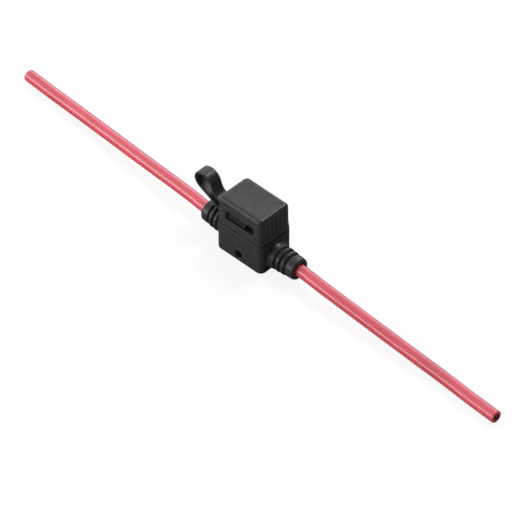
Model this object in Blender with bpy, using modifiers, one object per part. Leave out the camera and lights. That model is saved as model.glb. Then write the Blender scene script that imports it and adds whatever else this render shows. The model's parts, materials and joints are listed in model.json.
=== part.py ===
"""Inline holder for one blade fuse: a soft box with a pull-off cap, two ribbed boots and two leads.

Metres, +Z up. The origin is the middle of the flat underside of the base, the leads run along X,
and the side with the latch window that faces -Y is the front. The cap lifts off along +Z.
"""

import math

import bmesh
import bpy
from mathutils import Matrix, Vector

# Soft box
body_length = 0.0273
body_width = 0.0195
base_height = 0.0159
cap_height = 0.0142
corner_radius = 0.0026
base_edge_radius = 0.0011
cap_edge_radius = 0.0014
cap_draft = 0.0006  # how far the cap's top stands in from its rim, on each side
skirt_height = 0.0055  # the lower part of the cap that flares out to the base
end_wall = 0.0022
side_wall = 0.0027
floor_thickness = 0.0034
cap_wall = 0.0019
cap_roof = 0.0015
roof_gap = 0.0003  # between the fuse and the cap's roof

# Clearances
fit_gap = 0.0003  # between pieces that rest on or in each other
contact_gap = 0.00012  # between a metal jaw and what it grips
slide_gap = 0.00035  # between the carrier's neck and the cap

# Cross hole through the base for a fixing screw
hole_diameter = 0.0042
hole_height = 0.0041
hole_side_wall = 0.0017
hole_roof = 0.0012

# Ribbed boots
lead_height = 0.0067
boot_length = 0.0140
boot_flare_radius = 0.0066
boot_flare_length = 0.0024
boot_root_radius = 0.0061
boot_tip_radius = 0.0051
boot_tip_rounding = 0.0011
first_groove = 0.0037  # from the end face of the box
groove_pitch = 0.0028
groove_count = 3
groove_width = 0.0013
groove_depth = 0.0009
boot_sides = 28

# Latch: a window in the cap and a wedge on the neck, at the front and at the back
window_length = 0.0163
window_height = 0.0045
window_rise = 0.0037  # above the cap's rim
window_corner = 0.0004
wedge_length = 0.0106
wedge_offset = 0.0023  # along the window, towards the strap at the front and away from it at the back
wedge_land = 0.0012
wedge_recess = 0.0006  # of the wedge's face from the cap's outside at its top
channel_side_gap = 0.0005

# Grip flutes on the two ends of the cap
flute_pitch = 0.0072
flute_radius = 0.0012
flute_depth = 0.00045
flute_top_margin = 0.0012
flute_foot_margin = 0.0026

# Tether strap
strap_width = 0.0061
strap_thickness = 0.0013
strap_root_reach = 0.0015  # of the stub that the strap grows out of, from the end face
strap_base_height = 0.0145
strap_cap_rise = 0.0033  # of the strap's upper end above the cap's rim
loop_reach = 0.0194  # of the loop's far side from the end face
loop_height = 0.0290
loop_radius = 0.0040
lower_leg_sag = 0.0009
upper_leg_sag = 0.0012

# Blade fuse
fuse_width = 0.0191
fuse_head_thickness = 0.0051
fuse_head_height = 0.0035
fuse_body_width = 0.0186
fuse_body_thickness = 0.0038
fuse_body_height = 0.0119
fuse_edge_radius = 0.0004
blade_pitch = 0.0136
blade_width = 0.0052
blade_thickness = 0.00065
blade_reach = 0.0069
blade_chamfer = 0.0006
shank_width = 0.0039
fuse_wall = 0.0010
link_width = 0.0012
probe_hole = 0.0016
fuse_recess_length = 0.0068
fuse_recess_height = 0.0052
fuse_recess_depth = 0.0005

# Socket carrier
neck_top_gap = 0.0003
partition_thickness = 0.0009
carrier_corner = 0.0012
carrier_step = 0.0002  # the neck and the legs stand in from the carrier's foot
neck_chamfer = 0.0004
wedge_top_margin = 0.0002  # below the neck's chamfer
core_wall = 0.0012
core_depth = 0.0070

# Terminals
metal_thickness = 0.0005
jaw_height = 0.0055
jaw_slit = 0.0024
tongue_width = 0.0036
tongue_overlap = 0.00033  # of the tongue with the foot of the jaw
barrel_jaw_gap = 0.0002
barrel_wall = 0.0006
barrel_reach = 0.0018  # into the boot, past the end face of the box
barrel_end_gap = 0.0005

# Leads
lead_diameter = 0.0057
conductor_diameter = 0.0031
right_lead_length = 0.1178  # from the boot's tip to the cut end
left_lead_length = 0.1221
cut_end_proud = 0.0002
bench_gap = 0.00005
# Along the visible length, down towards the bench, and sideways on the right and on the left lead
lead_points = (
    (0.00, 0.00, 0.0000, 0.0000),
    (0.12, 0.03, -0.0009, 0.0012),
    (0.36, 0.36, -0.0016, 0.0035),
    (0.60, 0.76, -0.0020, 0.0061),
    (0.75, 0.95, -0.0024, 0.0075),
    (0.86, 1.00, -0.0032, 0.0082),
    (0.93, 1.00, -0.0036, 0.0087),
    (1.00, 1.00, -0.0040, 0.0092),
)

# Heights and places that follow from the sizes above
half_length = body_length / 2
half_width = body_width / 2
rim_height = base_height + fit_gap
top_height = rim_height + cap_height
pocket_half_length = half_length - end_wall
pocket_half_width = half_width - side_wall
saddle_half_length = hole_diameter / 2 + hole_side_wall
saddle_top = hole_height + hole_diameter / 2 + hole_roof
cavity_half_length = half_length - cap_draft - cap_wall
cavity_half_width = half_width - cap_draft - cap_wall
cavity_top = top_height - cap_roof
neck_half_length = cavity_half_length - slide_gap
foot_half_length = pocket_half_length - fit_gap
foot_half_width = pocket_half_width - fit_gap
neck_half_width = min(cavity_half_width - slide_gap, foot_half_width - carrier_step)
fuse_top = cavity_top - roof_gap
fuse_bottom = fuse_top - fuse_body_height
neck_top = fuse_top - fuse_head_height - neck_top_gap
well_floor = fuse_bottom - fit_gap
jaw_top = well_floor - partition_thickness - fit_gap
jaw_bottom = jaw_top - jaw_height
jaw_half_gap = blade_thickness / 2 + contact_gap
jaw_line = jaw_half_gap + metal_thickness / 2
jaw_half_width = blade_width / 2 - contact_gap + jaw_line + metal_thickness / 2
barrel_inner_radius = conductor_diameter / 2 + contact_gap
barrel_outer_radius = barrel_inner_radius + barrel_wall
barrel_start = blade_pitch / 2 + jaw_half_width + barrel_jaw_gap
barrel_end = half_length + barrel_reach
lead_radius = lead_diameter / 2
lead_start = barrel_end + barrel_end_gap
boot_tip = half_length + boot_length
window_bottom = rim_height + window_rise
window_top = window_bottom + window_height
wedge_face = half_width - cap_draft - wedge_recess
channel_depth_face = wedge_face + fit_gap
wedge_bottom = window_bottom + fit_gap
wedge_top = neck_top - neck_chamfer - wedge_top_margin
strap_cap_height = rim_height + strap_cap_rise
overcut = 0.001


def remove_old_objects():
    for old in list(bpy.data.objects):
        bpy.data.objects.remove(old, do_unlink=True)


def new_collection(name):
    collection = bpy.data.collections.new(name)
    bpy.context.scene.collection.children.link(collection)
    return collection


def new_material(name, colour, roughness, metallic=0.0):
    material = bpy.data.materials.new(name)
    material.use_nodes = True
    shader = material.node_tree.nodes["Principled BSDF"]
    shader.inputs["Base Color"].default_value = (*colour, 1.0)
    shader.inputs["Roughness"].default_value = roughness
    shader.inputs["Metallic"].default_value = metallic
    return material


def add_piece(name, mesh, material):
    """A piece of the product, in the product's collection."""
    mesh.materials.clear()
    mesh.materials.append(material)
    piece = bpy.data.objects.new(name, mesh)
    product.objects.link(piece)
    return piece


def add_tool(name, mesh):
    """A cutter or a shape to be joined on, kept out of the product."""
    tool = bpy.data.objects.new(name, mesh)
    tool.hide_render = True
    tool.display_type = "WIRE"
    tools.objects.link(tool)
    return tool


def combine(piece, tool, operation):
    modifier = piece.modifiers.new(tool.name, "BOOLEAN")
    modifier.operation = operation
    modifier.object = tool
    modifier.solver = "EXACT"


def cut(piece, tool):
    combine(piece, tool, "DIFFERENCE")


def join(piece, tool):
    combine(piece, tool, "UNION")


def evaluated_mesh(thing):
    """The mesh of an object with its modifiers applied, welded where caps meet walls."""
    bpy.context.view_layer.update()
    graph = bpy.context.evaluated_depsgraph_get()
    mesh = bpy.data.meshes.new_from_object(thing.evaluated_get(graph))
    shape = bmesh.new()
    shape.from_mesh(mesh)
    bmesh.ops.remove_doubles(shape, verts=shape.verts, dist=1e-7)
    bmesh.ops.recalc_face_normals(shape, faces=shape.faces)
    shape.to_mesh(mesh)
    shape.free()
    return mesh


def smooth(mesh, angle=35):
    mesh.shade_smooth()
    mesh.set_sharp_from_angle(angle=math.radians(angle))
    return mesh


def block_shape(low, high):
    """A bmesh box between two corners."""
    shape = bmesh.new()
    size = Vector(high) - Vector(low)
    centre = (Vector(high) + Vector(low)) / 2
    bmesh.ops.create_cube(shape, size=1.0, matrix=Matrix.Translation(centre) @ Matrix.Diagonal((*size, 1.0)))
    return shape


def finished(shape, name):
    mesh = bpy.data.meshes.new(name)
    shape.to_mesh(mesh)
    shape.free()
    return mesh


def block(name, low, high):
    return finished(block_shape(low, high), name)


def upright_edges(shape):
    return [e for e in shape.edges if abs((e.verts[0].co - e.verts[1].co).normalized().z) > 0.9]


def level_edges(shape, height):
    return [e for e in shape.edges if all(abs(v.co.z - height) < 1e-6 for v in e.verts)]


def round_edges(shape, edges, radius, segments):
    bmesh.ops.bevel(
        shape,
        geom=edges,
        offset=radius,
        offset_type="OFFSET",
        segments=segments,
        profile=0.5,
        affect="EDGES",
        clamp_overlap=True,
    )


def column_shape(half_x, half_y, low, high, radius, segments=5):
    """An upright block whose four standing edges are rounded."""
    shape = block_shape((-half_x, -half_y, low), (half_x, half_y, high))
    round_edges(shape, upright_edges(shape), radius, segments)
    return shape


def column(name, half_x, half_y, low, high, radius, segments=5):
    return finished(column_shape(half_x, half_y, low, high, radius, segments), name)


def outline_prism(name, points, thickness):
    """A flat outline in the XZ plane, drawn as a filled 2D curve and given its thickness along Y."""
    curve = bpy.data.curves.new(name, "CURVE")
    curve.dimensions = "2D"
    curve.fill_mode = "BOTH"
    curve.extrude = thickness / 2
    spline = curve.splines.new("POLY")
    spline.points.add(len(points) - 1)
    spline.use_cyclic_u = True
    for point, (x, z) in zip(spline.points, points):
        point.co = (x, z, 0.0, 1.0)
    flat = bpy.data.objects.new(name, curve)
    tools.objects.link(flat)
    mesh = evaluated_mesh(flat)
    mesh.transform(Matrix.Rotation(math.radians(90), 4, "X"))
    bpy.data.objects.remove(flat, do_unlink=True)
    return mesh


def turned(name, profile, sides):
    """A solid turned about Z: the profile is a list of (radius, height) from top to bottom."""
    mesh = bpy.data.meshes.new(name)
    points = [(radius, 0.0, height) for radius, height in profile]
    edges = [(i, i + 1) for i in range(len(points) - 1)]
    mesh.from_pydata(points, edges, [])
    guide = bpy.data.objects.new(name, mesh)
    tools.objects.link(guide)
    screw = guide.modifiers.new("turn", "SCREW")
    screw.axis = "Z"
    screw.steps = sides
    screw.render_steps = sides
    screw.use_merge_vertices = True
    screw.merge_threshold = 1e-7
    solid = evaluated_mesh(guide)
    bpy.data.objects.remove(guide, do_unlink=True)
    return solid


def along_x(mesh, start, side=1):
    """Lay a shape that was turned about Z along X at the height of the leads."""
    turn = Matrix.Rotation(math.radians(90 * side), 4, "Y")
    mesh.transform(Matrix.Translation((start * side, 0.0, lead_height)) @ turn)
    return mesh


def rod(name, radius, start, end, side=1, sides=24):
    """A plain round bar along X, between two distances from the middle."""
    profile = [(0.0, end - start), (radius, end - start), (radius, 0.0), (0.0, 0.0)]
    return along_x(turned(name, profile, sides), start, side)


def boot_profile():
    """The boot's outer side, from the tip to the flared root: (radius, distance from the end face)."""
    profile = [(0.0, boot_length)]
    for step in range(5):
        angle = math.radians(90 - 22.5 * step)
        radius = boot_tip_radius - boot_tip_rounding * (1 - math.cos(angle))
        profile.append((radius, boot_length - boot_tip_rounding * (1 - math.sin(angle))))
    for number in range(groove_count - 1, -1, -1):
        place = first_groove + number * groove_pitch
        for step in range(5):
            share = 1 - step / 2
            depth = groove_depth * math.sqrt(max(0.0, 1 - share * share))
            distance = place + share * groove_width / 2
            profile.append((boot_radius(distance) - depth, distance))
    for step in range(5):
        angle = math.radians(22.5 * step)
        spread = (boot_flare_radius - boot_root_radius) * (1 - math.cos(angle))
        profile.append((boot_root_radius + spread, boot_flare_length * (1 - math.sin(angle))))
    profile.append((boot_flare_radius, -overcut))
    profile.append((0.0, -overcut))
    return profile


def boot_radius(distance):
    share = (distance - boot_flare_length) / (boot_length - boot_tip_rounding - boot_flare_length)
    return boot_root_radius + (boot_tip_radius - boot_root_radius) * share


def make_base():
    """The lower half of the box, moulded with its two boots."""
    shape = column_shape(half_length, half_width, 0.0, base_height, corner_radius)
    round_edges(shape, level_edges(shape, 0.0), base_edge_radius, 3)
    base = add_piece("base_housing", finished(shape, "base_housing"), soft_black)
    for side, word in ((1, "right"), (-1, "left")):
        boot = turned(f"{word}_boot", boot_profile(), boot_sides)
        join(base, add_tool(f"{word}_boot", along_x(boot, half_length, side)))
    stub_low = (-half_length - strap_root_reach, -strap_width / 2, lead_height + boot_tip_radius)
    stub_high = (-half_length + overcut, strap_width / 2, strap_base_height + strap_thickness / 2)
    join(base, add_tool("strap_stub_on_base", block("strap_stub_on_base", stub_low, stub_high)))
    pocket_size = (pocket_half_length, pocket_half_width, saddle_top, base_height + overcut)
    pocket = column("pocket", *pocket_size, carrier_corner)
    cut(base, add_tool("pocket", pocket))
    for side, word in ((1, "right"), (-1, "left")):
        ends = sorted((side * saddle_half_length, side * pocket_half_length))
        low = (ends[0], -pocket_half_width + carrier_corner, floor_thickness)
        high = (ends[1], pocket_half_width - carrier_corner, saddle_top + overcut)
        cut(base, add_tool(f"{word}_well", block(f"{word}_well", low, high)))
        bore_ends = (pocket_half_length - overcut, boot_tip + overcut)
        bore = rod(f"{word}_bore", lead_radius + fit_gap, *bore_ends, side)
        cut(base, add_tool(f"{word}_bore", bore))
    base_hole = turned("cross_hole", straight_profile(hole_diameter / 2, body_width + 2 * overcut), 24)
    base_hole.transform(Matrix.Rotation(math.radians(90), 4, "X"))
    base_hole.transform(Matrix.Translation((0.0, half_width + overcut, hole_height)))
    cut(base, add_tool("cross_hole", base_hole))
    return base


def straight_profile(radius, length):
    return [(0.0, length), (radius, length), (radius, 0.0), (0.0, 0.0)]


def cap_inset(height):
    """How far the cap's side stands in from its rim at a height above the rim."""
    share = min(1.0, height / skirt_height)
    return cap_draft * (0.7 * math.sin(share * math.pi / 2) + 0.3 * height / cap_height)


def make_cap():
    """The pull-off cover: a drafted shell with a window at front and back and fluted ends."""
    shape = column_shape(half_length, half_width, rim_height, top_height, corner_radius)
    for share in (1 / 3, 2 / 3, 1):
        everything = shape.verts[:] + shape.edges[:] + shape.faces[:]
        level = (0.0, 0.0, rim_height + skirt_height * share)
        bmesh.ops.bisect_plane(shape, geom=everything, plane_co=level, plane_no=(0.0, 0.0, 1.0))
    for vert in shape.verts:
        inset = cap_inset(vert.co.z - rim_height)
        vert.co.x *= 1 - inset / half_length
        vert.co.y *= 1 - inset / half_width
    round_edges(shape, level_edges(shape, top_height), cap_edge_radius, 4)
    cap = add_piece("cap", finished(shape, "cap"), soft_black)
    stub_low = (-half_length - strap_root_reach, -strap_width / 2, strap_cap_height - strap_thickness / 2)
    stub_high = (-half_length + overcut, strap_width / 2, strap_cap_height + strap_thickness / 2)
    join(cap, add_tool("strap_stub_on_cap", block("strap_stub_on_cap", stub_low, stub_high)))
    hollow_size = (cavity_half_length, cavity_half_width, rim_height - overcut, cavity_top)
    hollow = column("cap_hollow", *hollow_size, carrier_corner)
    cut(cap, add_tool("cap_hollow", hollow))
    for side, word in ((-1, "front"), (1, "back")):
        outside, inside = side * (half_width + overcut), side * (cavity_half_width - overcut)
        low = (-window_length / 2, min(outside, inside), window_bottom)
        high = (window_length / 2, max(outside, inside), window_top)
        window = block_shape(low, high)
        through = [e for e in window.edges if abs((e.verts[0].co - e.verts[1].co).normalized().y) > 0.9]
        round_edges(window, through, window_corner, 2)
        cut(cap, add_tool(f"{word}_window", finished(window, f"{word}_window")))
        channel_half = wedge_length / 2 + channel_side_gap
        far, near = side * channel_depth_face, side * (cavity_half_width - overcut)
        low = (side * wedge_offset - channel_half, min(far, near), rim_height - overcut)
        high = (side * wedge_offset + channel_half, max(far, near), window_bottom + overcut)
        cut(cap, add_tool(f"{word}_channel", block(f"{word}_channel", low, high)))
    for side, word in ((1, "right"), (-1, "left")):
        for number in (-1, 0, 1):
            if side < 0 and number == 0:
                continue  # the strap's stub is there
            flute = turned(f"{word}_flute_{number + 2}", flute_profile(), 16)
            reach = half_length - cap_draft + flute_radius - flute_depth
            place = (side * reach, number * flute_pitch, rim_height + flute_foot_margin)
            flute.transform(Matrix.Translation(place))
            cut(cap, add_tool(f"{word}_flute_{number + 2}", flute))
    return cap


def flute_profile():
    """A round-ended bar that hollows one grip flute."""
    length = cap_height - flute_top_margin - flute_foot_margin
    profile = [(0.0, length)]
    for step in range(1, 5):
        angle = math.radians(22.5 * step)
        profile.append((flute_radius * math.sin(angle), length - flute_radius * (1 - math.cos(angle))))
    for step in range(4, 0, -1):
        angle = math.radians(22.5 * step)
        profile.append((flute_radius * math.sin(angle), flute_radius * (1 - math.cos(angle))))
    profile.append((0.0, 0.0))
    return profile


def make_carrier():
    """The stiff insert that holds the fuse over its two terminals and carries the latch wedges."""
    foot = column_shape(foot_half_length, foot_half_width, saddle_top + fit_gap, base_height, carrier_corner)
    carrier = add_piece("socket_carrier", finished(foot, "socket_carrier"), stiff_black)
    for side, word in ((1, "right"), (-1, "left")):
        ends = sorted((side * (saddle_half_length + fit_gap), side * (foot_half_length - carrier_step)))
        low = (ends[0], -foot_half_width + carrier_corner, floor_thickness + fit_gap)
        high = (ends[1], foot_half_width - carrier_corner, base_height - overcut)
        join(carrier, add_tool(f"{word}_leg", block(f"{word}_leg", low, high)))
    neck = column_shape(neck_half_length, neck_half_width, base_height - overcut, neck_top, carrier_corner)
    round_edges(neck, level_edges(neck, neck_top), neck_chamfer, 1)
    join(carrier, add_tool("neck", finished(neck, "neck")))
    for side, word in ((-1, "front"), (1, "back")):
        join(carrier, add_tool(f"{word}_wedge", wedge(f"{word}_wedge", side)))
    well_half_width = fuse_body_thickness / 2 + fit_gap
    low = (-fuse_body_width / 2 - fit_gap, -well_half_width, well_floor)
    high = (fuse_body_width / 2 + fit_gap, well_half_width, neck_top + overcut)
    cut(carrier, add_tool("fuse_well", block("fuse_well", low, high)))
    for side, word in ((1, "right"), (-1, "left")):
        cut_terminal_room(carrier, side, word)
        for across, name in ((-1, "front"), (1, "back")):
            ends_x = sorted((side * core_wall / 2, side * (neck_half_length - core_wall)))
            ends_y = sorted((across * (well_half_width + core_wall), across * (neck_half_width - core_wall)))
            low = (ends_x[0], ends_y[0], neck_top - core_depth)
            high = (ends_x[1], ends_y[1], neck_top + overcut)
            cut(carrier, add_tool(f"{word}_{name}_core", block(f"{word}_{name}_core", low, high)))
    return carrier


def cut_terminal_room(carrier, side, word):
    """The space for one terminal: a blade slot, a jaw chamber and room for the tongue and the barrel."""
    centre = side * blade_pitch / 2
    half = blade_width / 2 + fit_gap
    low = (centre - half, -blade_thickness / 2 - fit_gap, jaw_top)
    high = (centre + half, blade_thickness / 2 + fit_gap, well_floor + overcut)
    cut(carrier, add_tool(f"{word}_slot", block(f"{word}_slot", low, high)))
    half = jaw_half_width + fit_gap
    depth = jaw_line + metal_thickness / 2 + fit_gap
    low = (centre - half, -depth, jaw_bottom - fit_gap)
    high = (centre + half, depth, jaw_top + fit_gap)
    cut(carrier, add_tool(f"{word}_chamber", block(f"{word}_chamber", low, high)))
    tongue_half = tongue_width / 2 + fit_gap
    low = (centre - tongue_half, -depth + contact_gap, lead_height)
    high = (centre + tongue_half, depth - contact_gap, jaw_bottom)
    cut(carrier, add_tool(f"{word}_tongue_room", block(f"{word}_tongue_room", low, high)))
    way = barrel_outer_radius + fit_gap
    ends = sorted((centre - side * (tongue_half + fit_gap), side * (pocket_half_length + overcut)))
    low = (ends[0], -way, floor_thickness - overcut)
    high = (ends[1], way, max(lead_height + way, jaw_bottom + tongue_overlap + fit_gap))
    cut(carrier, add_tool(f"{word}_way", block(f"{word}_way", low, high)))


def wedge(name, side):
    """One latch wedge: a flat catch below, a short land and a ramp that leads up to the neck."""
    root = neck_half_width - overcut
    outline = [
        (root, wedge_bottom),
        (wedge_face, wedge_bottom),
        (wedge_face, wedge_bottom + wedge_land),
        (neck_half_width, wedge_top),
        (root, wedge_top),
    ]
    mesh = outline_prism(name, outline, wedge_length)
    mesh.transform(Matrix.Rotation(math.radians(90 * side), 4, "Z"))
    mesh.transform(Matrix.Translation((side * wedge_offset, 0.0, 0.0)))
    return mesh


def jaw_path():
    """The middle line of the rolled jaw, seen from above, from one lip round to the other."""
    centre = blade_width / 2 - contact_gap
    path = [(jaw_slit / 2, -jaw_line)]
    for step in range(9):
        angle = math.radians(-90 + 22.5 * step)
        path.append((centre + jaw_line * math.cos(angle), jaw_line * math.sin(angle)))
    return path + [(-x, y) for x, y in reversed(path)]


def terminal_mesh():
    """One stamped terminal on the right: a rolled jaw, a tongue and a barrel closed on the wire."""
    path = jaw_path()
    shape = bmesh.new()
    row = [shape.verts.new((blade_pitch / 2 + x, y, jaw_bottom)) for x, y in path]
    edges = [shape.edges.new((a, b)) for a, b in zip(row, row[1:])]
    grown = bmesh.ops.extrude_edge_only(shape, edges=edges)
    raised = [v for v in grown["geom"] if isinstance(v, bmesh.types.BMVert)]
    bmesh.ops.translate(shape, verts=raised, vec=(0.0, 0.0, jaw_height))
    jaw = add_tool("jaw", finished(shape, "jaw"))
    wall = jaw.modifiers.new("metal", "SOLIDIFY")
    wall.thickness = metal_thickness
    wall.offset = 0.0
    wall.use_even_offset = True
    tongue_low = (
        blade_pitch / 2 - tongue_width / 2,
        jaw_half_gap - contact_gap / 2,
        lead_height - barrel_inner_radius,
    )
    tongue_high = (
        barrel_start + metal_thickness,
        jaw_half_gap + metal_thickness + contact_gap / 2,
        jaw_bottom + tongue_overlap,
    )
    join(jaw, add_tool("tongue", block("tongue", tongue_low, tongue_high)))
    join(jaw, add_tool("barrel", rod("barrel", barrel_outer_radius, barrel_start, barrel_end)))
    bore_start = barrel_start + metal_thickness + contact_gap
    bore = rod("barrel_bore", barrel_inner_radius, bore_start, barrel_end + overcut)
    cut(jaw, add_tool("barrel_bore", bore))
    mesh = evaluated_mesh(jaw)
    mesh.name = "terminal"
    return smooth(mesh)


def make_terminals():
    mesh = terminal_mesh()
    for word, turn in (("right", 0.0), ("left", math.pi)):
        terminal = add_piece(f"{word}_terminal", mesh, brass)
        terminal.rotation_euler = (0.0, 0.0, turn)


def make_fuse():
    """The fuse's clear plastic body, with a narrow slot inside for its metal."""
    head = block_shape(
        (-fuse_width / 2, -fuse_head_thickness / 2, fuse_top - fuse_head_height),
        (fuse_width / 2, fuse_head_thickness / 2, fuse_top),
    )
    round_edges(head, head.edges[:], fuse_edge_radius, 2)
    body = add_piece("fuse_body", finished(head, "fuse_body"), clear_green)
    low = (-fuse_body_width / 2, -fuse_body_thickness / 2, fuse_bottom)
    high = (fuse_body_width / 2, fuse_body_thickness / 2, fuse_top - fuse_head_height + overcut)
    join(body, add_tool("fuse_shank", block("fuse_shank", low, high)))
    slot_half = blade_pitch / 2 - blade_width / 2 + shank_width + fit_gap
    slot_top = fuse_top - fuse_head_height + fuse_wall
    low = (-slot_half, -blade_thickness / 2 - fit_gap, fuse_bottom - overcut)
    high = (slot_half, blade_thickness / 2 + fit_gap, slot_top)
    cut(body, add_tool("fuse_slot", block("fuse_slot", low, high)))
    for side, word in ((1, "right"), (-1, "left")):
        centre = side * blade_pitch / 2
        low = (centre - probe_hole / 2, -probe_hole / 2, slot_top - overcut)
        high = (centre + probe_hole / 2, probe_hole / 2, fuse_top + overcut)
        cut(body, add_tool(f"{word}_probe_hole", block(f"{word}_probe_hole", low, high)))
    for side, word in ((-1, "front"), (1, "back")):
        face = fuse_body_thickness / 2
        ends = sorted((side * (face - fuse_recess_depth), side * (face + overcut)))
        middle = (fuse_bottom + fuse_top - fuse_head_height) / 2
        low = (-fuse_recess_length / 2, ends[0], middle - fuse_recess_height / 2)
        high = (fuse_recess_length / 2, ends[1], middle + fuse_recess_height / 2)
        cut(body, add_tool(f"fuse_{word}_recess", block(f"fuse_{word}_recess", low, high)))
    return body


def make_fuse_element():
    """The fuse's metal, stamped as one strip: two blades, two shanks and the link between them."""
    inner = blade_pitch / 2 - blade_width / 2
    outer = inner + blade_width
    tip = fuse_bottom - blade_reach
    shoulder = fuse_bottom - fit_gap
    link_base = fuse_bottom + shank_width
    shank_top = link_base + link_width
    right = [
        (inner, tip + blade_chamfer),
        (inner + blade_chamfer, tip),
        (outer - blade_chamfer, tip),
        (outer, tip + blade_chamfer),
        (outer, shoulder),
        (inner + shank_width, shoulder),
        (inner + shank_width, shank_top),
        (inner, shank_top),
    ]
    arch = []
    for step in range(1, 12):
        angle = math.radians(15 * step)
        arch.append((inner * math.cos(angle), shank_top + (inner - link_width / 2) * math.sin(angle) * 0.6))
    left = [(-x, z) for x, z in reversed(right)]
    under = []
    for step in range(11, 0, -1):
        angle = math.radians(15 * step)
        reach = inner - link_width
        under.append((reach * math.cos(angle), link_base + (reach - link_width / 2) * math.sin(angle) * 0.6))
    outline = right + arch + left + [(-inner, link_base)] + under + [(inner, link_base)]
    return add_piece("fuse_element", outline_prism("fuse_element", outline, blade_thickness), zinc)


def smooth_route(points, spacing):
    """Points along a smooth curve through the route's own points, about one spacing apart."""
    padded = [points[0] * 2 - points[1], *points, points[-1] * 2 - points[-2]]
    fine = []
    for before, start, end, after in zip(padded, padded[1:], padded[2:], padded[3:]):
        for step in range(20):
            t = step / 20
            fine.append(
                0.5
                * (
                    2 * start
                    + (end - before) * t
                    + (2 * before - 5 * start + 4 * end - after) * t**2
                    + (3 * start - before - 3 * end + after) * t**3
                )
            )
    fine.append(points[-1])
    travelled = [0.0]
    for start, end in zip(fine, fine[1:]):
        travelled.append(travelled[-1] + (end - start).length)
    count = max(2, round(travelled[-1] / spacing))
    route = []
    for step in range(count + 1):
        wanted = travelled[-1] * step / count
        place = next(i for i in range(1, len(fine)) if travelled[i] >= wanted - 1e-12)
        share = (wanted - travelled[place - 1]) / (travelled[place] - travelled[place - 1])
        route.append(fine[place - 1].lerp(fine[place], share))
    return route


def swept_mesh(name, route, radius, capped, resolution):
    """A round tube or bar along a route."""
    curve = bpy.data.curves.new(name, "CURVE")
    curve.dimensions = "3D"
    curve.bevel_depth = radius
    curve.bevel_resolution = resolution
    curve.use_fill_caps = capped
    spline = curve.splines.new("POLY")
    spline.points.add(len(route) - 1)
    for point, place in zip(spline.points, route):
        point.co = (*place, 1.0)
    wire = bpy.data.objects.new(name, curve)
    tools.objects.link(wire)
    mesh = evaluated_mesh(wire)
    bpy.data.objects.remove(wire, do_unlink=True)
    return smooth(mesh)


def lead_route(side):
    """The lead's own points: straight out of the boot, down on to the bench and along it."""
    resting = lead_radius + bench_gap
    drop = lead_height - resting
    points = [Vector((side * lead_start, 0.0, lead_height))]
    for along, down, right_across, left_across in lead_points:
        across = right_across if side > 0 else left_across
        length = right_lead_length if side > 0 else left_lead_length
        points.append(Vector((side * (boot_tip + length * along), across, lead_height - drop * down)))
    return points


def make_leads():
    """Each lead is a tube of insulation round one conductor, which runs on into its terminal."""
    for side, word in ((1, "right"), (-1, "left")):
        points = lead_route(side)
        route = smooth_route(points, 2.0 * lead_diameter)
        insulation = swept_mesh(f"{word}_lead", route, lead_radius, False, 4)
        tube = add_piece(f"{word}_lead", insulation, pink_pvc)
        wall = tube.modifiers.new("insulation", "SOLIDIFY")
        wall.thickness = lead_radius - conductor_diameter / 2 - contact_gap
        wall.offset = -1.0
        core_start = barrel_start + metal_thickness + 2 * contact_gap
        ahead = (route[-1] - route[-2]).normalized() * cut_end_proud
        core_route = [Vector((side * core_start, 0.0, lead_height)), *route[:-1], route[-1] + ahead]
        core = swept_mesh(f"{word}_conductor", core_route, conductor_diameter / 2, True, 2)
        add_piece(f"{word}_conductor", core, copper)


def strap_path():
    """The middle line of the strap in the XZ plane, from its end at the base round to the cap."""
    root = -half_length - strap_root_reach - fit_gap
    far = -half_length - loop_reach + strap_thickness / 2
    centre = Vector((far + loop_radius, loop_height - loop_radius))
    start = Vector((root, strap_base_height))
    end = Vector((root, strap_cap_height))
    bulb = []
    for step in range(10):
        angle = math.radians(250 - 26 * step)
        bulb.append(centre + Vector((loop_radius * math.cos(angle), loop_radius * math.sin(angle))))
    lower_sag = Vector((0.0, -lower_leg_sag))
    lower = [
        start,
        start + Vector((-0.0021, -0.0001)),
        start.lerp(bulb[0], 0.40) + lower_sag,
        start.lerp(bulb[0], 0.68),
    ]
    upper_sag = Vector((0.0, -upper_leg_sag))
    upper = [
        end.lerp(bulb[-1], 0.66) + upper_sag,
        end.lerp(bulb[-1], 0.38) + upper_sag,
        end + Vector((-0.0014, 0.0)),
        end,
    ]
    return lower + bulb + upper


def make_strap():
    """The flat tether that keeps the cap with the base, bent into a loop beside the box."""
    points = [Vector((p.x, 0.0, p.y)) for p in strap_path()]
    route = smooth_route(points, 0.0014)
    route[0].x = points[0].x
    shape = bmesh.new()
    front = [shape.verts.new((p.x, -strap_width / 2, p.z)) for p in route]
    edges = [shape.edges.new((a, b)) for a, b in zip(front, front[1:])]
    grown = bmesh.ops.extrude_edge_only(shape, edges=edges)
    moved = [v for v in grown["geom"] if isinstance(v, bmesh.types.BMVert)]
    bmesh.ops.translate(shape, verts=moved, vec=(0.0, strap_width, 0.0))
    strap = add_piece("tether_strap", smooth(finished(shape, "tether_strap")), soft_black)
    wall = strap.modifiers.new("thickness", "SOLIDIFY")
    wall.thickness = strap_thickness
    wall.offset = 0.0
    return strap


remove_old_objects()
product = new_collection("inline_fuse_holder")
tools = new_collection("tools")
soft_black = new_material("soft_black", (0.030, 0.029, 0.031), 0.62)
stiff_black = new_material("stiff_black", (0.022, 0.022, 0.024), 0.45)
brass = new_material("brass", (0.72, 0.53, 0.26), 0.32, 1.0)
zinc = new_material("zinc", (0.62, 0.63, 0.65), 0.35, 1.0)
clear_green = new_material("clear_green", (0.10, 0.48, 0.16), 0.18)
pink_pvc = new_material("pink_pvc", (0.66, 0.10, 0.14), 0.28)
copper = new_material("copper", (0.58, 0.27, 0.15), 0.38, 1.0)

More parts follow.
